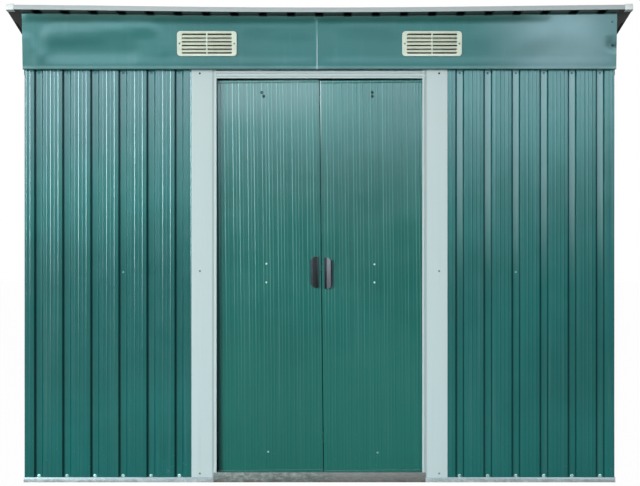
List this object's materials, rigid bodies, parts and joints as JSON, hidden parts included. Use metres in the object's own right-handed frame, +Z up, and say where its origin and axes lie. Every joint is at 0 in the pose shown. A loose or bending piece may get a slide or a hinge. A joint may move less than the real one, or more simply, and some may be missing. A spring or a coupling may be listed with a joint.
{
  "type": "metal storage shed with sliding doors",
  "caption": "Small pent-roof shed of ribbed sheet steel, with two sliding doors that hang from a track, louvred vents in a front fascia and a bare floor.",
  "frame": {"origin": "on the ground, below the middle of the roof's outline", "axes": "+X to the right along the front, +Y from the front to the rear, +Z up"},
  "size_m": [2.38, 1.32, 1.828],
  "materials": {
    "green_paint": "satin",
    "white_paint": "satin",
    "galvanised": "satin",
    "stained_galvanised": "worn",
    "ivory_plastic": "matte",
    "black_plastic": "satin",
    "white_plastic": "gloss"
  },
  "bodies": {
    "shed": {"base_rail_front_left": "galvanised", "base_rail_front_right": "galvanised", "base_rail_rear": "galvanised", "base_rails_side": "galvanised", "corner_posts": "galvanised", "door_floor_guide": "galvanised", "door_head_cover": "white_paint", "door_posts": "galvanised", "door_sill": "stained_galvanised", "door_track": "galvanised", "fascia_left": "green_paint", "fascia_right": "green_paint", "front_wall_left": "green_paint", "front_wall_right": "green_paint", "gable_left": "green_paint", "gable_right": "green_paint", "jamb_left": "white_paint", "jamb_right": "white_paint", "left_wall": "green_paint", "rear_wall_left": "green_paint", "rear_wall_right": "green_paint", "right_wall": "green_paint", "roof_beams": "galvanised", "roof_corner_caps": "white_plastic", "roof_sheet_left": "green_paint", "roof_sheet_middle": "green_paint", "roof_sheet_right": "green_paint", "roof_trim_front": "white_paint", "roof_trim_rear": "white_paint", "roof_trims_side": "white_paint", "top_rail_front": "galvanised", "top_rail_rear": "galvanised", "top_rails_side": "galvanised", "vent_left": "ivory_plastic", "vent_right": "ivory_plastic", "wall_braces": "galvanised"},
    "left_door": {"left_door_frame": "galvanised", "left_door_guides": "black_plastic", "left_door_handle": "black_plastic", "left_door_hangers": "galvanised", "left_door_rollers": "white_plastic", "left_door_sheet": "green_paint"},
    "right_door": {"right_door_frame": "galvanised", "right_door_guides": "black_plastic", "right_door_handle": "black_plastic", "right_door_hangers": "galvanised", "right_door_rollers": "white_plastic", "right_door_sheet": "green_paint"}
  },
  "joints": [
    {"name": "left_door_slide", "type": "slide", "parent": "shed", "child": "left_door", "axis": [-1, 0, 0], "range_m": [0, 0.34]},
    {"name": "right_door_slide", "type": "slide", "parent": "shed", "child": "right_door", "axis": [1, 0, 0], "range_m": [0, 0.34]}
  ]
}
